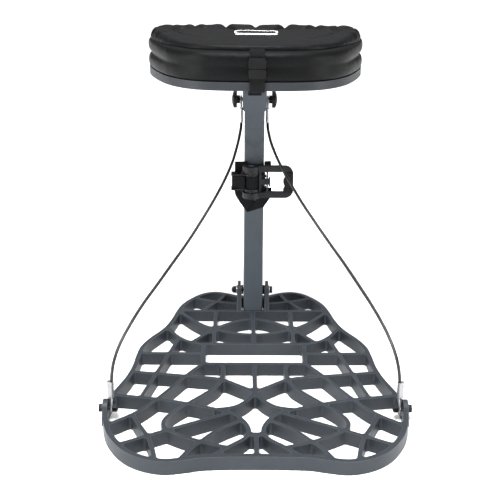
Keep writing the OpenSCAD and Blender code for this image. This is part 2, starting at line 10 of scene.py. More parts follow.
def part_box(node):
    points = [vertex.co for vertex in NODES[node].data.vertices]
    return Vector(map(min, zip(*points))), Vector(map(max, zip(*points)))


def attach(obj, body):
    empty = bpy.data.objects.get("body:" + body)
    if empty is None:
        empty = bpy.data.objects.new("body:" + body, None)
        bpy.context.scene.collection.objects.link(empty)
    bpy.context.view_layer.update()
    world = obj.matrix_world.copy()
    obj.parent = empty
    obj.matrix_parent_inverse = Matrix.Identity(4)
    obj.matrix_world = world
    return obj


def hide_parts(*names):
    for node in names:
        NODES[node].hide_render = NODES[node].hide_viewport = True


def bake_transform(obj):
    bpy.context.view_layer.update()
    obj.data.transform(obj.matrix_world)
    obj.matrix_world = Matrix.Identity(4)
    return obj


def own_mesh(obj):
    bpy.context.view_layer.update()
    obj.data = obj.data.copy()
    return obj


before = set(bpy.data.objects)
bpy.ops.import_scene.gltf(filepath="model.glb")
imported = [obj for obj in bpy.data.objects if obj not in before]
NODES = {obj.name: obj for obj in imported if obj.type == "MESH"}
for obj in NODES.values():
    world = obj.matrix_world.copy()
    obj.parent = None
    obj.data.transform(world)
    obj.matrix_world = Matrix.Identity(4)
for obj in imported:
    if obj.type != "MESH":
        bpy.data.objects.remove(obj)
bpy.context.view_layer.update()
MM = 0.001
FULL_TURN = 2 * math.pi

# ---------- places taken from the frame ----------
stud_lo, stud_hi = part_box("pivot_stud")
roll_lo, roll_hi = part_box("webbing_roll")
PIVOT = (stud_lo + stud_hi) / 2
SPOOL = (roll_lo + roll_hi) / 2
WEBBING_HALF = Vector((0, 0, (roll_hi.z - roll_lo.z) / 2))
CUSHION_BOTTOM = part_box("cushion_base")[0].z
CUSHION_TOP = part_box("cushion_top")[1].z

# y of the platform's rear cross bar, from which outlines and routes are measured
REAR_BAR_MM = 229.5
REAR_BAR = REAR_BAR_MM * MM


def local(x, y, z):
    """A point in millimetres, with y measured from the platform's rear cross bar."""
    return Vector((x * MM, y * MM + REAR_BAR, z * MM))


def from_spool(x, y, z):
    """A point in millimetres, measured from the middle of the spool."""
    return SPOOL + Vector((x * MM, y * MM, z * MM))


# ---------- camera ----------
CAMERA_PLACE = (-0.025, -1.5205, 0.778)
CAMERA_LENS = 66.2
CAMERA_SHIFT = -0.083
CAMERA_PITCH, CAMERA_YAW, CAMERA_ROLL = (math.radians(a) for a in (17.0, 0.57, -0.44))


def make_camera():
    """Pitch is downwards, yaw to the right of +Y."""
    data = bpy.data.cameras.new("camera")
    camera = bpy.data.objects.new("camera", data)
    bpy.context.scene.collection.objects.link(camera)
    data.sensor_width = 36
    data.lens = CAMERA_LENS
    data.shift_y = CAMERA_SHIFT
    data.clip_end = 50
    pitch, yaw, roll = CAMERA_PITCH, CAMERA_YAW, CAMERA_ROLL
    forward = Vector((math.sin(yaw) * math.cos(pitch), math.cos(yaw) * math.cos(pitch), -math.sin(pitch)))
    right = Vector((math.cos(yaw), -math.sin(yaw), 0))
    down = forward.cross(right)
    turned_right = math.cos(roll) * right + math.sin(roll) * down
    turned_up = math.sin(roll) * right - math.cos(roll) * down
    turn = Matrix((turned_right, turned_up, -forward)).transposed()
    camera.matrix_world = Matrix.Translation(CAMERA_PLACE) @ turn.to_4x4()
    bpy.context.scene.camera = camera


make_camera()


# ---------- material helpers ----------
def srgb(r, g, b):
    """A colour given as 0 to 255 screen values, as linear RGBA."""
    return tuple(((c / 255 + 0.055) / 1.055) ** 2.4 if c > 10 else c / 3294.6 for c in (r, g, b)) + (1.0,)


def bands(period):
    """The scale at which a wave texture repeats after one period."""
    return math.pi / 10 / period


class Mat:
    """A node material with a Principled shader and short helpers to wire it."""

    def __init__(self, name, **sockets):
        self.mat = bpy.data.materials.new(name)
        self.mat.use_nodes = True
        self.tree = self.mat.node_tree
        self.bsdf = self.tree.nodes["Principled BSDF"]
        for key, value in sockets.items():
            self.bsdf.inputs[key.replace("_", " ")].default_value = value
        self.height = None

    def node(self, kind, **values):
        """A new node; each value sets a property of the node or else one of its sockets."""
        made = self.tree.nodes.new(kind)
        for key, value in values.items():
            if hasattr(made, key):
                setattr(made, key, value)
            else:
                made.inputs[key.replace("_", " ")].default_value = value
        return made

    def link(self, a, b):
        self.tree.links.new(a, b)

    def coords(self, kind="Object", scale=(1, 1, 1), turn=(0, 0, 0)):
        place = self.node("ShaderNodeTexCoord")
        mapping = self.node("ShaderNodeMapping", Scale=scale, Rotation=turn)
        self.link(place.outputs[kind], mapping.inputs["Vector"])
        return mapping.outputs["Vector"]

    def noise(self, scale, detail=3.0, rough=0.55, vector=None):
        made = self.node("ShaderNodeTexNoise", Scale=scale, Detail=detail, Roughness=rough)
        self.link(vector or self.coords(), made.inputs["Vector"])
        return made.outputs["Fac"]

    def wave(self, scale, vector, direction="X"):
        made = self.node("ShaderNodeTexWave", Scale=scale, bands_direction=direction)
        self.link(vector, made.inputs["Vector"])
        return made.outputs["Fac"]

    def math(self, operation, a, b):
        made = self.node("ShaderNodeMath", operation=operation)
        for socket, value in zip(made.inputs, (a, b)):
            if isinstance(value, (int, float)):
                socket.default_value = value
            else:
                self.link(value, socket)
        return made.outputs[0]

    def ramp(self, value, stops):
        made = self.node("ShaderNodeValToRGB")
        band = made.color_ramp
        while len(band.elements) < len(stops):
            band.elements.new(0.5)
        for element, (place, colour) in zip(band.elements, stops):
            element.position = place
            element.color = colour
        self.link(value, made.inputs["Fac"])
        return made.outputs["Color"]

    def mix(self, factor, a, b):
        made = self.node("ShaderNodeMix", data_type="RGBA")
        for socket, value in ((made.inputs[0], factor), (made.inputs[6], a), (made.inputs[7], b)):
            if isinstance(value, (int, float, tuple)):
                socket.default_value = value
            else:
                self.link(value, socket)
        return made.outputs[2]

    def spread(self, value, low, high):
        """Maps a 0 to 1 value to the range low to high."""
        made = self.node("ShaderNodeMapRange", To_Min=low, To_Max=high)
        self.link(value, made.inputs["Value"])
        return made.outputs["Result"]

    def edges(self, radius):
        """1 along sharp convex and concave edges, 0 on faces."""
        bevel = self.node("ShaderNodeBevel", Radius=radius, samples=4)
        geometry = self.node("ShaderNodeNewGeometry")
        dot = self.node("ShaderNodeVectorMath", operation="DOT_PRODUCT")
        self.link(bevel.outputs["Normal"], dot.inputs[0])
        self.link(geometry.outputs["Normal"], dot.inputs[1])
        made = self.node("ShaderNodeMapRange", From_Min=0.995, From_Max=0.93)
        self.link(dot.outputs["Value"], made.inputs["Value"])
        return made.outputs["Result"]

    def color(self, value):
        self.link(value, self.bsdf.inputs["Base Color"])

    def rough(self, value):
        self.link(value, self.bsdf.inputs["Roughness"])

    def bump(self, value, distance, strength=1.0):
        """Adds relief on top of any relief the material already has."""
        made = self.node("ShaderNodeBump", Distance=distance, Strength=strength)
        self.link(value, made.inputs["Height"])
        if self.height is not None:
            self.link(self.height, made.inputs["Normal"])
        self.height = made.outputs["Normal"]
        self.link(self.height, self.bsdf.inputs["Normal"])


def powder_coat(name, dark, light, wear_and_highlight):
    """Satin powder coat: fine orange peel, slow colour drift, and paler edges, partly edge wear and partly a
    painted highlight.
    """
    m = Mat(name, Metallic=0.0, IOR=1.5, Specular_IOR_Level=0.24)
    drift = m.ramp(m.noise(9, 4), [(0.3, dark), (0.7, light)])
    # paler along sharp edges: partly edge wear, partly a painted edge highlight
    rubbed_and_highlit = m.math("MULTIPLY", m.edges(0.0012), m.spread(m.noise(60, 4, 0.7), 0.1, 1.0))
    m.color(m.mix(m.math("MULTIPLY", rubbed_and_highlit, 0.55), drift, wear_and_highlight))
    m.rough(m.spread(m.noise(30, 5), 0.38, 0.52))
    m.bump(m.noise(900, 2), distance=0.00025, strength=0.35)
    m.bump(m.noise(240, 2), distance=0.0005, strength=0.16)
    return m.mat


def plastic(name, dark, light, rough, grain=1400):
    """Moulded plastic with a fine spark-eroded grain and faint scuffs."""
    m = Mat(name, IOR=1.47, Specular_IOR_Level=0.2)
    scuff = m.math("GREATER_THAN", m.noise(180, 6, 0.75), 0.66)
    drift = m.ramp(m.noise(35, 3), [(0.3, dark), (0.7, light)])
    m.color(m.mix(m.math("MULTIPLY", scuff, 0.25), drift, light))
    m.rough(m.spread(m.noise(90, 4), rough - 0.07, rough + 0.09))
    m.bump(m.noise(grain, 2), distance=0.00012, strength=0.5)
    return m.mat


def metal(name, colour, dull, rough, stretch=(1, 1, 1)):
    """Bare metal with fine drawn lines along the stretched axis and dull handling marks."""
    m = Mat(name, Metallic=1.0)
    lines = m.noise(1200, 3, 0.6, m.coords(scale=stretch))
    m.color(m.mix(m.spread(m.noise(50, 5, 0.65), 0.0, 0.8), colour, dull))
    m.rough(m.spread(lines, rough - 0.08, rough + 0.12))
    m.bump(lines, distance=0.00008, strength=0.5)
    return m.mat


def cloth(name, dark, light, pitch=0.0009):
    """Plain-woven nylon, the same from every side: yarns pitch apart crossed on each pair of axes."""
    m = Mat(name, Sheen_Weight=0.012, Sheen_Roughness=0.4, Specular_IOR_Level=0.11)
    place = m.coords()
    across = m.wave(bands(pitch), place, "X")
    along = m.wave(bands(pitch), place, "Y")
    up = m.wave(bands(pitch), place, "Z")
    on_top = m.math("MULTIPLY", across, along)
    on_sides = m.math("MULTIPLY", up, m.math("MAXIMUM", across, along))
    yarns = m.math("MAXIMUM", on_top, on_sides)
    shade = m.math("ADD", m.spread(m.noise(14, 5, 0.6), 0.15, 0.75), m.math("MULTIPLY", yarns, 0.25))
    m.color(m.ramp(shade, [(0.15, dark), (0.9, light)]))
    m.rough(m.spread(m.noise(40, 4), 0.38, 0.5))
    m.bump(yarns, distance=0.00022, strength=0.35)
    m.bump(m.noise(55, 4, 0.6), distance=0.0012, strength=0.3)
    return m.mat


def webbing_cloth(name, dark, light):
    """Flat woven webbing. U runs along it in metres, V across it from 0 to 1."""
    m = Mat(name, Sheen_Weight=0.01, Specular_IOR_Level=0.13)
    pick = 0.0022
    row = 0.085
    along = m.wave(bands(pick), m.coords("UV"), "X")
    rows = m.wave(bands(row), m.coords("UV"), "Y")
    chevron = m.wave(bands(pick), m.coords("UV", turn=(0, 0, 0.35)), "X")
    weave = m.math("MULTIPLY", m.math("ADD", along, chevron), m.spread(rows, 0.35, 0.6))
    shade = m.math("ADD", weave, m.spread(m.noise(70, 5), -0.2, 0.25))
    m.color(m.ramp(shade, [(0.1, dark), (0.95, light)]))
    m.rough(m.spread(m.noise(150, 4), 0.55, 0.8))
    m.bump(weave, distance=0.00045, strength=0.9)
    return m.mat


def cable_coat(name, dark, light):
    """Black extruded jacket over a stranded core, whose lay shows as a faint twist."""
    m = Mat(name, IOR=1.46)
    twist = m.wave(bands(0.5), m.coords("UV", scale=(30, 3, 1)), "DIAGONAL")
    m.color(m.ramp(m.noise(60, 4), [(0.35, dark), (0.75, light)]))
    m.rough(m.spread(m.noise(220, 4), 0.34, 0.5))
    m.bump(twist, distance=0.0003, strength=0.45)
    return m.mat


SLATE = powder_coat("slate_powder_coat", srgb(42, 46, 51), srgb(50, 55, 60), srgb(112, 117, 123))
# painted shade: a darker copy of the slate powder coat, for the seat pan in the shade under the cushion
SLATE_SHADED_PAN = powder_coat("slate_powder_coat_painted_shade", srgb(32, 35, 38), srgb(39, 42, 46), srgb(84, 88, 93))
# painted light: a paler copy of the slate powder coat, so that the post and yoke look lit from the front
SLATE_LIT_POST = powder_coat("slate_powder_coat_painted_light", srgb(60, 66, 72), srgb(69, 75, 81),
                         srgb(112, 118, 124))
BLACK_STEEL = powder_coat("black_powder_coat", srgb(16, 17, 19), srgb(23, 24, 27), srgb(62, 64, 67))
BLACK_BOLT = powder_coat("black_oxide", srgb(13, 13, 15), srgb(22, 22, 25), srgb(68, 68, 70))
NYLON = plastic("black_nylon", srgb(14, 15, 16), srgb(23, 24, 26), rough=0.5)
ACETAL = plastic("black_acetal", srgb(5, 5, 6), srgb(11, 12, 13), rough=0.38, grain=2200)
RUBBER = plastic("grip_rubber", srgb(10, 11, 12), srgb(18, 19, 21), rough=0.7, grain=800)
ZINC = metal("zinc_plate", srgb(196, 198, 201), srgb(146, 147, 150), rough=0.34)
SPRING = metal("spring_steel", srgb(66, 68, 72), srgb(44, 45, 48), rough=0.42)
FERRULE = metal("swaged_aluminium", srgb(176, 177, 179), srgb(132, 133, 136), rough=0.4,
                stretch=(1, 1, 0.12))
ROPE = metal("galvanised_strand", srgb(190, 191, 193), srgb(128, 129, 131), rough=0.38)
CLOTH = cloth("black_pack_cloth", srgb(5, 5, 6), srgb(14, 15, 17))
# painted shade: a darker copy of the black pack cloth, for the lower pad whose upright walls sit out of the
# overhead light
CLOTH_SHADED = cloth("black_cloth_painted_shade", srgb(2, 2, 3), srgb(7, 8, 9), pitch=0.0007)
WEBBING = webbing_cloth("black_webbing", srgb(6, 6, 7), srgb(18, 19, 21))
LABEL = cloth("pale_embroidery", srgb(196, 197, 198), srgb(236, 236, 236), pitch=0.0006)
THREAD = cloth("black_thread", srgb(22, 22, 24), srgb(44, 45, 48), pitch=0.0004)
CABLE = cable_coat("cable_jacket", srgb(20, 21, 22), srgb(37, 38, 40))


# ---------- CAD nodes that stay: material and softened edges ----------
def paint(obj, material):
    obj.data.materials.clear()
    obj.data.materials.append(material)


def soften(name, material, width):
    """Gives a CAD node its material and rounds its edges by width."""
    obj = NODES[name]
    paint(obj, material)
    for key in ("custom_normal", "sharp_face", "sharp_edge"):
        if key in obj.data.attributes:
            obj.data.attributes.remove(obj.data.attributes[key])
    obj.data.shade_smooth()
    weld = obj.modifiers.new("weld", "WELD")
    weld.merge_threshold = 0.00001
    flat = obj.modifiers.new("flat", "DECIMATE")
    flat.decimate_type = "DISSOLVE"
    flat.angle_limit = math.radians(1)
    round_off = obj.modifiers.new("round", "BEVEL")
    round_off.width = width
    round_off.segments = 2
    round_off.limit_method = "ANGLE"
    round_off.angle_limit = math.radians(32)
    round_off.harden_normals = True
    round_off.use_clamp_overlap = True
    round_off.miter_outer = "MITER_ARC"


# material, edge rounding, nodes
KEPT = [
    (SLATE, 0.0011, ["platform_casting"]),
    (SLATE_SHADED_PAN, 0.0010, ["seat_pan"]),
    # the seat pan takes the darker copy of the slate coat, which paints in shade
    (SLATE_LIT_POST, 0.0008, ["post_tube", "seat_yoke"]),
    # the post and yoke take the paler copy of the slate coat, which paints in light
    (SLATE, 0.0005, ["tree_cleat"]),
    (BLACK_BOLT, 0.0005, ["hinge_bolt", "cable_bolts", "cleat_screws", "seat_screws"]),
    (BLACK_BOLT, 0.0004, ["hinge_nut", "cable_nuts"]),
    (ZINC, 0.0003, ["hinge_washers", "hinge_bush", "pivot_stud", "ratchet_spool"]),
    (BLACK_STEEL, 0.0003, ["anchor_pin", "lock_pawl", "drive_pawl", "ratchet_wheels"]),
    (NYLON, 0.0004, ["hinge_spacers", "post_end_plug"]),
    (NYLON, 0.0009, ["knob_left", "knob_right"]),
    (BLACK_STEEL, 0.0005, ["ratchet_frame"]),
    (BLACK_STEEL, 0.0018, ["ratchet_handle"]),
    (RUBBER, 0.0014, ["handle_grip"]),
    (ACETAL, 0.0008, ["buckle_socket", "buckle_plug"]),
    (FERRULE, 0.0005, ["lower_ferrule_left", "lower_ferrule_right"]),
    (FERRULE, 0.0005, ["upper_ferrule_left", "upper_ferrule_right"]),
]
for material, width, names in KEPT:
    for name in names:
        soften(name, material, width)


# ---------- mesh helpers ----------
def mesh_object(name, points, faces, material, uvs=None):
    """A smooth-shaded object; uvs gives one pair for each point."""
    mesh = bpy.data.meshes.new(name)
    mesh.from_pydata([tuple(p) for p in points], [], faces)
    mesh.update()
    if uvs is not None:
        layer = mesh.uv_layers.new(name="UVMap")
        for loop, corner in zip(mesh.loops, layer.data):
            corner.uv = uvs[loop.vertex_index]
    mesh.shade_smooth()
    obj = bpy.data.objects.new(name, mesh)
    bpy.context.scene.collection.objects.link(obj)
    paint(obj, material)
    return obj


def wall_faces(rows, sides, start=0):
    """Faces between rows of points, each row a closed ring; start is the number of the first point."""
    faces = []
    for i in range(rows - 1):
        low = start + i * sides
        high = low + sides
        for k in range(sides):
            n = (k + 1) % sides
            faces.append((low + k, low + n, high + n, high + k))
    return faces


def skin_faces(rows, sides, start=0):
    """The wall between the rows, and a cap on both ends."""
    first_cap = tuple(range(start + sides - 1, start - 1, -1))
    last = start + (rows - 1) * sides
    return wall_faces(rows, sides, start) + [first_cap, tuple(range(last, last + sides))]


def spline(a, b, c, d, t):
    """A point between b and c on the smooth curve through a, b, c and d."""
    return 0.5 * (2 * b + (c - a) * t + (2 * a - 5 * b + 4 * c - d) * t * t
                  + (3 * b - 3 * c + d - a) * t ** 3)


def curve_through(points, step):
    """Points about step apart on a smooth curve through the given ones."""
    p = [Vector(q) for q in points]
    line = []
    for i in range(len(p) - 1):
        a, b, c, d = p[max(i - 1, 0)], p[i], p[i + 1], p[min(i + 2, len(p) - 1)]
        n = max(2, round((c - b).length / step))
        line += [spline(a, b, c, d, k / n) for k in range(n)]
    return line + [p[-1]]


def rounded_corners(points, radius, steps=5):
    """A polyline whose inner corners become arcs of about that radius."""
    p = [Vector(q) for q in points]
    line = [p[0]]
    for before, corner, after in zip(p, p[1:], p[2:]):
        reach = min(radius, (corner - before).length * 0.49, (after - corner).length * 0.49)
        a = corner + (before - corner).normalized() * reach
        c = corner + (after - corner).normalized() * reach
        for k in range(steps + 1):
            t = k / steps
            line.append((1 - t) ** 2 * a + 2 * t * (1 - t) * corner + t * t * c)
    return line + [p[-1]]


def dense(line, step):
    """The same polyline with points no further apart than step."""
    fine = []
    for a, b in zip(line, line[1:]):
        n = max(1, math.ceil((b - a).length / step))
        fine += [a.lerp(b, k / n) for k in range(n)]
    return fine + [line[-1]]


def lengths(line):
    """The distance along the line at each of its points."""
    total = [0.0]
    for a, b in zip(line, line[1:]):
        total.append(total[-1] + (b - a).length)
    return total


def heading(line, i):
    """The direction of the line at its point i."""
    return (line[min(i + 1, len(line) - 1)] - line[max(i - 1, 0)]).normalized()


def carried_frame(line, side):
    """Two unit vectors across the line at each of its points, carried along so that they don't twist."""
    for i in range(len(line)):
        d = heading(line, i)
        side = side - d * d.dot(side)
        side.normalize()
        yield side, d.cross(side)


def circle(middle, radius, side, other, sides):
    """Points round the middle, in the plane of two unit vectors."""
    angles = [FULL_TURN * k / sides for k in range(sides)]
    return [middle + radius * (math.cos(a) * side + math.sin(a) * other) for a in angles]


def tube(name, line, radius, sides, material, first_side):
    """A round tube along a line."""
    points, uvs = [], []
    for p, run, (side, other) in zip(line, lengths(line), carried_frame(line, first_side)):
        points += circle(p, radius, side, other, sides)
        uvs += [(run, k / sides) for k in range(sides)]
    return mesh_object(name, points, skin_faces(len(line), sides), material, uvs)


# half of a webbing's section: place across it from -1 to 1, and height, more at the woven edges
SECTION_TOP = [(-1.0, 0.5), (-0.94, 0.78), (-0.86, 0.62), (-0.5, 0.56), (0, 0.58),
               (0.5, 0.56), (0.86, 0.62), (0.94, 0.78), (1.0, 0.5)]
SECTION = SECTION_TOP + [(x, -t) for x, t in reversed(SECTION_TOP)]
SECTION_HEIGHT = 0.8


def ribbon(name, line, halves, thick, material, wobble=0.0):
    """Flat webbing along a line; halves is half its width as a vector, or a list of one for each point."""
    if isinstance(halves, Vector):
        halves = [halves] * len(line)
    points, uvs = [], []
    for i, (p, half, run) in enumerate(zip(line, halves, lengths(line))):
        out = half.cross(heading(line, i)).normalized()
        for x, t in SECTION:
            wave = wobble * noise.noise(Vector((run * 60, x * 1.2, 3.0)))
            points.append(p + half * x + out * (t * thick * SECTION_HEIGHT + wave))
            uvs.append((run, x / 2 + 0.5))
    return mesh_object(name, points, skin_faces(len(line), len(SECTION)), material, uvs)


# ---------- suspension cables ----------
CABLE_D = 0.0055
# the route from the lower ferrule to the upper one, in millimetres: (y, z) for both cables, and x for each
CABLE_YZ = [(-172, 70.2), (-171, 81), (-165, 101), (-150, 123), (-124, 146), (-86, 168), (-42, 189),
            (3, 210.4), (46, 234.4), (84, 260.6), (120, 289.6), (152, 319.1), (183, 348.5), (214, 375.9),
            (241, 394.4), (252.5, 404), (255.5, 409), (255.7, 411.6)]
CABLE_X = {
    "right": (234.5, 234, 231, 224.5, 213, 197, 178, 157.9, 134.6, 111.3, 87.2, 66.2,
              47.4, 33.7, 27.9, 26.2, 26, 26),
    "left": (234.5, 234, 231, 223.5, 209.5, 191, 168.5, 145.9, 121.8, 99.6, 77.6, 58.2,
             42.8, 33, 28, 26.2, 26, 26)}


def make_cable(side, sign):
    route = [(sign * x * MM, y * MM, z * MM) for x, (y, z) in zip(CABLE_X[side], CABLE_YZ)]
    line = curve_through(route, 0.0045)
    cable = tube(f"suspension_cable_{side}", line, CABLE_D / 2, 16, CABLE, Vector((0.88 * sign, 0.47, 0)))
    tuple(route[0])
    round(lengths(line)[-1], 3)
    [tuple(p) for p in line]
    tuple(route[1])
    tuple(route[-1])
    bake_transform(cable)
    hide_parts(f"cable_{side}")


ROPE_R = 0.0019
STRAND_R = 0.00068
STRANDS = 6
STRAND_SIDES = 6
STRAND_LAY = 0.014
EYE_R = 0.0062
LEG_GAP = 0.0028
EAR_BORE_Z = 0.022
LOWER_EYE_TURN = 62


def eye_line(centre, up, reach, turn, sign):
    """The middle of the rope: from the ferrule, reach away, round the bolt at centre and back."""
    c, s = math.cos(math.radians(turn)), math.sin(math.radians(turn))
    tops = [Vector((sign * end * LEG_GAP * s, end * LEG_GAP * c, reach)) for end in (1, -1)]
    feet = [Vector((0, end * EYE_R, 0)) for end in (1, -1)]
    share = np.linspace(0, 1, 16)
    down = [tops[0].lerp(feet[0], t) for t in share[:-1]]
    round_bolt = [Vector((0, EYE_R * math.cos(a), -EYE_R * math.sin(a))) for a in np.linspace(0, math.pi, 22)]
    back = [feet[1].lerp(tops[1], t) for t in share[1:]]
    placed = [Vector((p.x, p.y, p.z * up)) + centre for p in down + round_bolt + back]
    return curve_through(placed, 0.0008)


def make_rope_eye(name, body, line):
    """Strands laid round a core along the line."""
    points, faces, uvs = [], [], []
    for strand in range(STRANDS):
        faces += skin_faces(len(line), STRAND_SIDES, start=len(points))
        for p, run, (side, other) in zip(line, lengths(line), carried_frame(line, Vector((1, 0, 0)))):
            a = FULL_TURN * (strand / STRANDS + run / STRAND_LAY)
            middle = p + (ROPE_R - STRAND_R) * (math.cos(a) * side + math.sin(a) * other)
            points += circle(middle, STRAND_R, side, other, STRAND_SIDES)
            uvs += [(run, k / STRAND_SIDES) for k in range(STRAND_SIDES)]
    eye = mesh_object(f"{name}_strands", points, faces, ROPE, uvs)
    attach(eye, body)
    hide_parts(name)


for side, sign in (("right", 1), ("left", -1)):
    make_cable(side, sign)
    lo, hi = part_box(f"lower_ferrule_{side}")
    centre = (lo + hi) / 2
    ear = Vector((centre.x, centre.y, EAR_BORE_Z))
    make_rope_eye(f"lower_eye_{side}", "platform", eye_line(ear, 1, lo.z - ear.z, LOWER_EYE_TURN, sign))
    lo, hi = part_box(f"upper_ferrule_{side}")
    pin = Vector(((lo.x + hi.x) / 2, PIVOT.y, PIVOT.z))
    make_rope_eye(f"upper_eye_{side}", "post", eye_line(pin, -1, PIVOT.z - hi.z, 0, sign))


# ---------- seat cushion ----------
# half of the seat's outline, from the front middle round to the rear middle
SEAT_HALF = [(x * MM, (y + REAR_BAR_MM) * MM) for x, y in (
    (0, -252), (64, -249), (112, -233), (152, -188), (182, -112), (195, -48),
    (188, -4), (160, 14), (90, 18), (0, 18))]
SEAT_MIDDLE = np.array([0.0, REAR_BAR - 0.112])
COLUMNS = 216


def run_along(points):
    """The distance along a row of points at each of them."""
    return np.concatenate([[0], np.cumsum(np.linalg.norm(np.diff(points, axis=0), axis=1))])


def seat_outline():
    """COLUMNS evenly spaced points from the rear middle, their outward normals, and the length round."""
    half = SEAT_HALF[::-1]
    ring = half + [(-x, y) for x, y in half[-2:0:-1]]
    fine = []
    for i in range(len(ring)):
        a, b, c, d = (np.array(ring[(i + k) % len(ring)]) for k in (-1, 0, 1, 2))
        fine += [spline(a, b, c, d, t) for t in np.arange(0, 1, 1 / 60)]
    fine = np.array(fine + [fine[0]])
    run = run_along(fine)
    want = np.linspace(0, run[-1], COLUMNS + 1)[:-1]
    points = np.stack([np.interp(want, run, fine[:, k]) for k in (0, 1)], axis=1)
    along = np.roll(points, -1, axis=0) - np.roll(points, 1, axis=0)
    normals = np.stack([-along[:, 1], along[:, 0]], axis=1) / np.linalg.norm(along, axis=1)[:, None]
    if np.mean(np.sum(normals * (points - SEAT_MIDDLE), axis=1)) < 0:
        normals = -normals
    return points, normals, run[-1]


OUTLINE, OUTWARD, ROUND = seat_outline()
# distance round the edge from the rear middle, and a weight that is 1 along the front and 0 elsewhere
ARC = np.minimum(np.arange(COLUMNS), COLUMNS - np.arange(COLUMNS)) / COLUMNS * ROUND
FRONT = np.clip((SEAT_MIDDLE[1] + 0.03 - OUTLINE[:, 1]) / 0.12, 0, 1) ** 1.5


def blend_front(side, front):
    """A value for each column: side round the back and ends, front along the front."""
    return side * (1 - FRONT) + front * FRONT


def ring_at(offset, z, scale=1.0):
    """One ring of the cushion: the outline grown by offset, then shrunk towards the middle."""
    grown = OUTLINE + OUTWARD * np.reshape(offset, (-1, 1))
    flat = SEAT_MIDDLE + (grown - SEAT_MIDDLE) * np.reshape(scale, (-1, 1))
    return np.column_stack([flat, np.broadcast_to(z, COLUMNS)])


def closed_pad(name, rings, material):
    """A closed mesh through the rings, from the middle of its underside to the middle of its top."""
    points = np.concatenate(rings + [[[*SEAT_MIDDLE, rings[0][0, 2]], [*SEAT_MIDDLE, rings[-1][0, 2]]]])
    faces = wall_faces(len(rings), COLUMNS)
    bottom = len(rings) * COLUMNS
    top = bottom + 1
    last = bottom - COLUMNS
    for k in range(COLUMNS):
        n = (k + 1) % COLUMNS
        faces.append((bottom, n, k))
        faces.append((top, last + k, last + n))
    obj = mesh_object(name, points, faces, material)
    work = bmesh.new()
    work.from_mesh(obj.data)
    bmesh.ops.recalc_face_normals(work, faces=work.faces)
    work.to_mesh(obj.data)
    work.free()
    return obj


CLOTH_FRAMES = 20


def inflate(obj, pins, pressure, cap, shrink):
    """Blows the pad up between its pinned seams with a cloth simulation, and keeps moves under cap."""
    rest = np.array([v.co for v in obj.data.vertices])
    group = obj.vertex_groups.new(name="seams")
    for i, weight in enumerate(pins):
        if weight > 0:
            group.add([i], float(weight), "REPLACE")
    cloth_mod = obj.modifiers.new("cloth", "CLOTH")
    settings = cloth_mod.settings
    settings.vertex_group_mass = "seams"
    settings.use_pressure = True
    settings.uniform_pressure_force = pressure
    settings.shrink_min = shrink
    settings.quality = 6
    settings.tension_stiffness = 12
    settings.compression_stiffness = 12
    settings.bending_stiffness = 0.4
    settings.effector_weights.gravity = 0
    cloth_mod.collision_settings.use_collision = False
    scene = bpy.context.scene
    for f in range(1, CLOTH_FRAMES + 1):
        scene.frame_set(f)
    evaluated = obj.evaluated_get(bpy.context.evaluated_depsgraph_get())
    moved = np.array([v.co for v in evaluated.data.vertices])
    obj.modifiers.remove(cloth_mod)
    scene.frame_set(1)
    move = moved - rest
    size = np.linalg.norm(move, axis=1)
    move *= (cap * np.tanh(size / cap) / np.maximum(size, 1e-9))[:, None]
    obj.data.vertices.foreach_set("co", (rest + move).ravel())
    obj.data.update()


def pins_for(rings, fixed, least):
    """One pin weight for each point of a pad: 1 where fixed and at both middles, least or more elsewhere."""
    pins = np.zeros((len(rings), COLUMNS))
    for row, columns in fixed:
        pins[row, columns] = 1
    return np.append(np.maximum(pins, least).ravel(), [1, 1])


def smooth_bumps(obj, size, amount):
    """Adds the small unevenness of cloth over foam."""
    for v in obj.data.vertices:
        v.co += v.normal * amount * noise.fractal(v.co * size, 0.8, 2.1, 4)


def finish_pad(obj, node):
    smooth = obj.modifiers.new("smooth", "SUBSURF")
    smooth.levels = smooth.render_levels = 1
    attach(obj, "seat")
    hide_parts(node)


EVERY = slice(None)


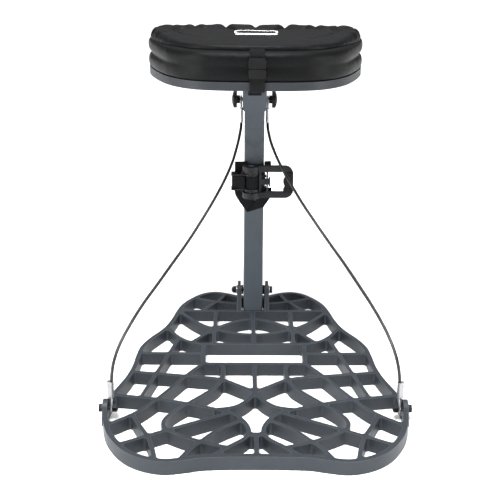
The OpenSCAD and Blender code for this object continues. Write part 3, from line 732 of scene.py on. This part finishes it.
def make_base_cushion():
    """The lower pad: two layers pinched together by a seam at the ends and back, and a rolled upper edge."""
    bottom = CUSHION_BOTTOM
    seam = bottom + 0.025
    pinch = blend_front(0.0064, 0.0006)
    beside_seam = 0.0006 - pinch * 0.35
    underside = [ring_at(-0.004, bottom, s) for s in (0.15, 0.45, 0.72, 0.9, 0.97)]
    lower = [ring_at(grow, bottom + rise) for grow, rise in (
        (-0.0025, 0.0002), (-0.0002, 0.0022), (0.0008, 0.006), (0.0012, 0.011), (0.0010, 0.0165))]
    pinched = [ring_at(beside_seam, seam - 0.0035), ring_at(0.0004 - pinch, seam),
               ring_at(beside_seam, seam + 0.0035)]
    upper = [ring_at(0.0010, seam + 0.008), ring_at(0.0010, 0.5735)]
    # growth and height, each at the back and ends and then along the front
    rolled = [ring_at(blend_front(*grow), blend_front(*height)) for grow, height in (
        ((0.0008, 0.0006), (0.5790, 0.5765)), ((-0.0002, -0.0010), (0.5825, 0.5808)),
        ((-0.0018, -0.0042), (0.5845, 0.5840)), ((-0.0040, -0.0080), (0.5852, 0.5856)),
        ((-0.0065, -0.0120), (0.5848, 0.5860)), ((-0.0090, -0.0160), (0.5835, 0.5850)))]
    cover = [ring_at(-0.020, 0.5825, s) for s in (1.0, 0.9, 0.6, 0.2)]
    rings = underside + lower + pinched + upper + rolled + cover
    # the lower pad wears the darker copy of the cloth, which paints in shade
    obj = closed_pad("seat_cushion_base", rings, CLOTH_SHADED)
    seam_row = len(underside) + len(lower) + 1
    last_rolled = len(rings) - len(cover) - 2
    fixed = [(slice(len(underside) + 1), EVERY), (seam_row, EVERY), (slice(last_rolled, None), EVERY)]
    inflate(obj, pins_for(rings, fixed, 0.8 + 0.2 * FRONT), pressure=1.2, cap=0.0014, shrink=0.0)
    smooth_bumps(obj, 38, 0.0005)
    finish_pad(obj, "cushion_base")


# place of each crease of the quilting, as the distance from the rear middle, and its strength
CREASES = [(0.0, 0.42), (0.062, 1.0), (0.124, 0.55), (0.172, 0.75), (0.217, 0.7), (0.262, 0.8),
           (0.306, 0.55)]
CREASE_WIDTH = 0.0058
ROLL_STEPS = 10


def crease_depth(arc):
    """How deep the quilting pulls the roll in at a distance round the edge from the rear middle."""
    return max(strength * math.exp(-abs((arc - place) / CREASE_WIDTH) ** 1.6) for place, strength in CREASES)


def make_top_cushion():
    """The upper pad: a roll quilted into segments at the back and ends, a low front roll, a smooth middle.

    Returns the pad, and the scale and growth of the seam inside its roll.
    """
    quilted = 1 - np.clip((ARC - 0.30) / 0.05, 0, 1)
    depth = np.array([crease_depth(a) for a in ARC]) * quilted
    roll_width = blend_front(0.046, 0.042)
    inner = 1 - roll_width / np.linalg.norm(OUTLINE - SEAT_MIDDLE, axis=1)
    edge = blend_front(-0.0035, -0.0145)
    seam = edge - 0.0022
    underside = [ring_at(edge - 0.004, 0.5815, s) for s in (0.2, 0.55, 0.85, 0.96)]
    wall = [ring_at(edge - 0.0008, 0.5825)]
    for z, out, pull in ((0.5855, 0.0004, 0.1), (0.5885, 0.0006, 0.3), (0.5915, -0.0004, 0.6)):
        wall.append(ring_at(edge + out - 0.0050 * depth * pull, z))
    shoulder = edge - blend_front(0.0022, 0.0016) - 0.0055 * depth
    wall.append(ring_at(shoulder, blend_front(0.5950, 0.5938) - 0.0030 * depth))
    rolls = []
    for k in range(1, ROLL_STEPS + 1):
        t = k / ROLL_STEPS
        high = 0.5940 + 0.0098 * math.sin(math.pi * (0.15 + 0.85 * t)) ** 0.7
        low = 0.5938 + 0.0052 * math.sin(math.pi / 2 * min(1, 1.15 * t)) ** 0.9
        sunk = 0.0135 * depth * (0.6 + 0.4 * math.sin(math.pi * t)) * (1 - 0.45 * t)
        grow = shoulder * (1 - t) + seam * t
        rolls.append(ring_at(grow, blend_front(high, low) - sunk, 1 - (1 - inner) * t))
    rim = rolls[-1][:, 2]
    middle = [ring_at(seam, rim + (0.5996 - rim) * (1 - s ** 2) ** 0.7, inner * s)
              for s in (0.94, 0.86, 0.74, 0.6, 0.45, 0.3, 0.16, 0.05)]
    rise_to_back = 0.030
    for ring in middle:
        ring[:, 2] += rise_to_back * (ring[:, 1] - SEAT_MIDDLE[1])
    rings = underside + wall + rolls + middle
    obj = closed_pad("seat_cushion_top", rings, CLOTH)
    first_roll = len(underside) + len(wall) - 1
    last_roll = first_roll + ROLL_STEPS
    fixed = [(slice(len(underside) + 1), EVERY), (slice(first_roll, last_roll + 1), depth > 0.42),
             (last_roll, EVERY), (slice(last_roll + 3, None), EVERY)]
    inflate(obj, pins_for(rings, fixed, FRONT), pressure=2.6, cap=0.0042, shrink=-0.05)
    smooth_bumps(obj, 30, 0.0009)
    finish_pad(obj, "cushion_top")
    return obj, inner, seam


make_base_cushion()
top_pad, SEAM_SCALE, SEAM_GROWTH = make_top_cushion()


def drop_on(obj, x, y):
    """The point and normal of the pad's top at x, y."""
    hit, point, normal, _ = obj.ray_cast(Vector((x, y, 1.0)), Vector((0, 0, -1)))
    return (point, normal) if hit else (Vector((x, y, CUSHION_TOP)), Vector((0, 0, 1)))


STITCH_PITCH = 0.0042
STITCH_LENGTH = 0.0029
STITCH_R = 0.00042
# share of the length and of the radius at each ring of a stitch
STITCH_TAPER = ((0, 0.3), (0.2, 1), (0.8, 1), (1, 0.3))


def make_stitches():
    """Top stitching beside the inner seam, laid on the finished pad."""
    points, faces = [], []
    path = ring_at(SEAM_GROWTH, 0, SEAM_SCALE * 0.965)[:, :2]
    closed = np.vstack([path, path[:1]])
    run = run_along(closed)
    sides = 6
    for s in np.arange(0, run[-1] - STITCH_PITCH, STITCH_PITCH):
        ends = [[np.interp(s + t, run, closed[:, k]) for k in (0, 1)] for t in (0, STITCH_LENGTH)]
        (a, normal_a), (b, normal_b) = (drop_on(top_pad, *end) for end in ends)
        out = ((normal_a + normal_b) / 2).normalized()
        side = (b - a).normalized().cross(out).normalized()
        faces += skin_faces(len(STITCH_TAPER), sides, start=len(points))
        for t, r in STITCH_TAPER:
            points += circle(a.lerp(b, t) + out * STITCH_R * 0.5, STITCH_R * r, side, out, sides)
    obj = mesh_object("cushion_stitching", points, faces, THREAD)
    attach(obj, "seat")


def embroidered(name, path, half_width, lift=0.0008):
    """A raised line of pale thread laid on the pad along a path of (x, y) points."""
    points, faces, uvs = [], [], []
    path = [Vector(q) for q in path]
    closed = (path[0] - path[-1]).length < 1e-6
    profile = ((-1, -0.5), (-0.9, 0.6), (-0.4, 1), (0.4, 1), (0.9, 0.6), (1, -0.5))
    run = lengths(path)
    for i, q in enumerate(path):
        d = heading(path, i)
        if closed and i in (0, len(path) - 1):
            d = (path[1] - path[-2]).normalized()
        for across, rise in profile:
            x = q.x - d.y * across * half_width
            y = q.y + d.x * across * half_width
            ground, _ = drop_on(top_pad, x, y)
            points.append(ground + Vector((0, 0, rise * lift)))
            uvs.append((run[i], across))
    n = len(profile)
    for i in range(len(path) - 1):
        low, high = i * n, (i + 1) * n
        faces += [(low + k, low + k + 1, high + k + 1, high + k) for k in range(n - 1)]
    obj = mesh_object(name, points, faces, LABEL, uvs)
    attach(obj, "seat")


LABEL_MIDDLE = SEAT_MIDDLE[1] + 0.020
LABEL_WIDE, LABEL_DEEP, LABEL_CORNER = 0.074, 0.046, 0.014


def label_outline():
    """A closed rectangle with rounded corners as (x, y) points no more than 3 mm apart."""
    outline = []
    for cx, cy, start in ((1, 1, 0), (-1, 1, 90), (-1, -1, 180), (1, -1, 270)):
        for a in range(0, 91, 10):
            w = math.radians(start + a)
            outline.append((cx * (LABEL_WIDE / 2 - LABEL_CORNER) + LABEL_CORNER * math.cos(w),
                            LABEL_MIDDLE + cy * (LABEL_DEEP / 2 - LABEL_CORNER) + LABEL_CORNER * math.sin(w)))
    outline.append(outline[0])
    fine = []
    for (ax, ay), (bx, by) in zip(outline, outline[1:]):
        n = max(1, math.ceil(math.hypot(bx - ax, by - ay) / 0.003))
        fine += [(ax + (bx - ax) * k / n, ay + (by - ay) * k / n) for k in range(n)]
    return fine + [fine[0]]


def make_label():
    """A plain generic patch: an embroidered rounded frame with a bar in front of it."""
    embroidered("label_frame", label_outline(), 0.0019)
    bar_y = LABEL_MIDDLE - LABEL_DEEP / 2 - 0.0085
    embroidered("label_bar", [(u * 0.0365, bar_y) for u in np.linspace(-1, 1, 25)], 0.0034)


make_stitches()
make_label()


# ---------- webbing ----------
def make_cushion_strap():
    """Front strap: out of the top seam, through the buckle, under the pan and down the yoke."""
    route = [local(0, -235, 590.5), local(0, -239.5, 587.6), local(0, -250.5, 587.4), local(0, -255.4, 580.5),
             local(0, -255.3, 574), local(0, -255.3, 520.8),
             local(0, -253.7, 519.6), local(0, -8, 519.6), local(0, -2.2, 514.6), local(0, -2.2, 470)]
    line = dense(rounded_corners(route, 0.0035), 0.006)
    obj = ribbon("seat_strap", line, Vector((0.0125, 0, 0)), 0.0014, WEBBING)
    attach(obj, "seat")
    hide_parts("cushion_strap")


def make_strap_loop():
    """The tree strap: a sewn loop round the anchor pin, then round the post to the spool."""
    lo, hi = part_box("anchor_pin")
    pin = (lo + hi) / 2
    loop_r = 0.0042
    beside_post = 20.8
    behind_post = 55.3
    level = SPOOL.z / MM
    round_pin = [Vector((pin.x + loop_r * math.cos(a), pin.y + loop_r * math.sin(a), SPOOL.z))
                 for a in np.radians(np.arange(-100, -261, -20))]
    sewn_end = local(-18.5, -26.2, level)
    route = rounded_corners(
        [round_pin[-1], local(-24.8, 4, level), local(-beside_post, 13, level),
         local(-beside_post, behind_post, level), local(beside_post, behind_post, level),
         local(beside_post, 12, level), local(beside_post + 1, 2, level), local(8.4, -11, level),
         local(8.4, -17, level)], 0.005)
    line = dense([sewn_end] + round_pin[:-1] + route, 0.004)
    obj = ribbon("tree_strap", line, WEBBING_HALF, 0.0015, WEBBING)
    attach(obj, "post")
    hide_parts("strap_loop")


def make_webbing_roll():
    """Four turns of strap wound on the spool."""
    turns = 4
    outer_r = 0.0126
    pitch = 0.0013
    line = []
    for a in np.arange(0, turns * 360 + 1, 12):
        r = outer_r - pitch * a / 360
        line.append(SPOOL + Vector((r * math.cos(math.radians(a)), -r * math.sin(math.radians(a)), 0)))
    obj = ribbon("strap_roll", line, WEBBING_HALF, pitch, WEBBING)
    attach(obj, "spool")
    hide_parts("webbing_roll")


def station_halves(stations, line):
    """Half widths for every point of a line, blended between its stations."""
    run = lengths(line)
    places = [run[min(range(len(line)), key=lambda i: (line[i] - local(*c)).length)] for c, _ in stations]
    across = [np.interp(run, places, [h[k] * MM for _, h in stations]) for k in (0, 1)]
    return [Vector((x, 0, z)) for x, z in zip(*across)]


def folded(name, stations):
    """Webbing through stations of (centre, half width as x and z), all in millimetres."""
    line = curve_through([local(*centre) for centre, _ in stations], 0.0015)
    return ribbon(name, line, station_halves(stations, line), 0.0011, WEBBING, wobble=0.00012)


def make_strap_tail():
    """The loose end: a pointed flap folded below the ratchet and rounded folds above it."""
    parts = [folded("strap_flap", [
        ((-26, 3.1, 286), (12.5, 0)), ((-24, 3.1, 271), (12.5, 1.5)), ((-10, 3.1, 252), (13.2, 3.6)),
        ((2.0, 3.0, 241.6), (16.5, 5.4)), ((2.9, 2.5, 240.6), (16.7, 5.5)),
        ((4.0, 2.0, 242.0), (16.4, 5.2)), ((14, 1.95, 256), (13.6, 2.0)),
        ((21.5, 1.95, 270), (12.6, -0.5)), ((22, 1.95, 286), (12.4, 0))])]
    back = 3.1
    for name, x, half, top, front in (
            ("strap_fold_left", -26, 12, 339, 0.6), ("strap_fold_middle", 3, 16.5, 333.5, 2.0),
            ("strap_fold_right", 26.5, 6.6, 340, 0.2)):
        middle = (back + front) / 2
        parts.append(folded(name, [
            ((x, back, 317.5), (half, 0)), ((x, back, top - 4), (half, 0.4)),
            ((x, 2.9, top - 1.2), (half - 0.3, 0.3)), ((x, middle, top - 0.5), (half - 0.5, 0.2)),
            ((x, front + 0.1, top - 1.6), (half - 0.3, -0.2)), ((x, front, top - 5), (half, -0.4)),
            ((x, max(front, 1.9), 320.5), (half, 0))]))
    for obj in parts:
        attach(obj, "post")
        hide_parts("strap_tail")


def make_leaf_spring(name, node, body, start, end, level, height, fixed_x):
    """A zigzag leaf from start to end, in millimetres from the spool."""
    folds = 8
    zigzag = [from_spool(start + (end - start) * i / folds, 2 if i % 2 else -2, level)
              for i in range(folds + 1)]
    line = rounded_corners(zigzag, 0.0005, steps=3)
    obj = ribbon(name, line, Vector((0, 0, height / 2 * MM)), 0.0004, SPRING)
    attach(obj, body)
    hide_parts(node)
    tuple(from_spool(fixed_x, 0, level))
    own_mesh(obj)


make_leaf_spring("lock_spring", "lock_pawl_spring", "post", start=-27.2, end=-22.5, level=0, height=8,
                 fixed_x=-27.2)
for level, part in ((11, "upper"), (-11, "lower")):
    make_leaf_spring(f"drive_spring_{part}", "drive_pawl_spring", "handle", start=20.5, end=29.3, level=level,
                     height=6, fixed_x=29.3)
make_cushion_strap()
make_strap_loop()
make_webbing_roll()
make_strap_tail()


# ---------- floor, light and world ----------
def make_world():
    """A soft overhead dome, dark towards the horizon so that upward faces don't glare."""
    world = bpy.data.worlds.new("studio")
    world.use_nodes = True
    tree = world.node_tree
    place = tree.nodes.new("ShaderNodeTexCoord")
    split = tree.nodes.new("ShaderNodeSeparateXYZ")
    height = tree.nodes.new("ShaderNodeMath")
    height.operation = "POWER"
    height.inputs[1].default_value = 2.4
    height.use_clamp = True
    brightness = tree.nodes.new("ShaderNodeMapRange")
    brightness.inputs["To Min"].default_value = 0.08
    brightness.inputs["To Max"].default_value = 2.25
    background = tree.nodes["Background"]
    background.inputs["Color"].default_value = (1, 1, 1, 1)
    tree.links.new(place.outputs["Generated"], split.inputs[0])
    tree.links.new(split.outputs["Z"], height.inputs[0])
    tree.links.new(height.outputs[0], brightness.inputs["Value"])
    tree.links.new(brightness.outputs["Result"], background.inputs["Strength"])
    bpy.context.scene.world = world


def make_floor():
    m = Mat("floor_paint", Roughness=0.95, Specular_IOR_Level=0.1)
    m.color(m.ramp(m.noise(3, 2), [(0.3, srgb(251, 251, 251)), (0.7, srgb(254, 254, 254))]))
    corners = [(-40, -12, 0), (40, -12, 0), (40, 90, 0), (-40, 90, 0)]
    mesh_object("floor", corners, [(0, 1, 2, 3)], m.mat)


# name, place, size in metres, watts
LAMPS = (
    ("side_left", (-5.0, -2.7, 1.1), 2.2, 250),
    ("side_right", (5.1, -2.6, 1.0), 2.2, 210),
    ("key", (-0.5, -2.3, 4.6), 1.3, 360))
LAMP_TARGET = Vector((0, 0, 0.25))


def make_lamp(name, place, size, power):
    data = bpy.data.lights.new(name, "AREA")
    data.size = size
    data.energy = power
    lamp = bpy.data.objects.new(name, data)
    bpy.context.scene.collection.objects.link(lamp)
    lamp.location = place
    lamp.rotation_mode = "QUATERNION"
    lamp.rotation_quaternion = (LAMP_TARGET - Vector(place)).to_track_quat("-Z", "Y")


make_floor()
make_world()
for lamp_values in LAMPS:
    make_lamp(*lamp_values)
bpy.context.scene.view_settings.view_transform = "Standard"
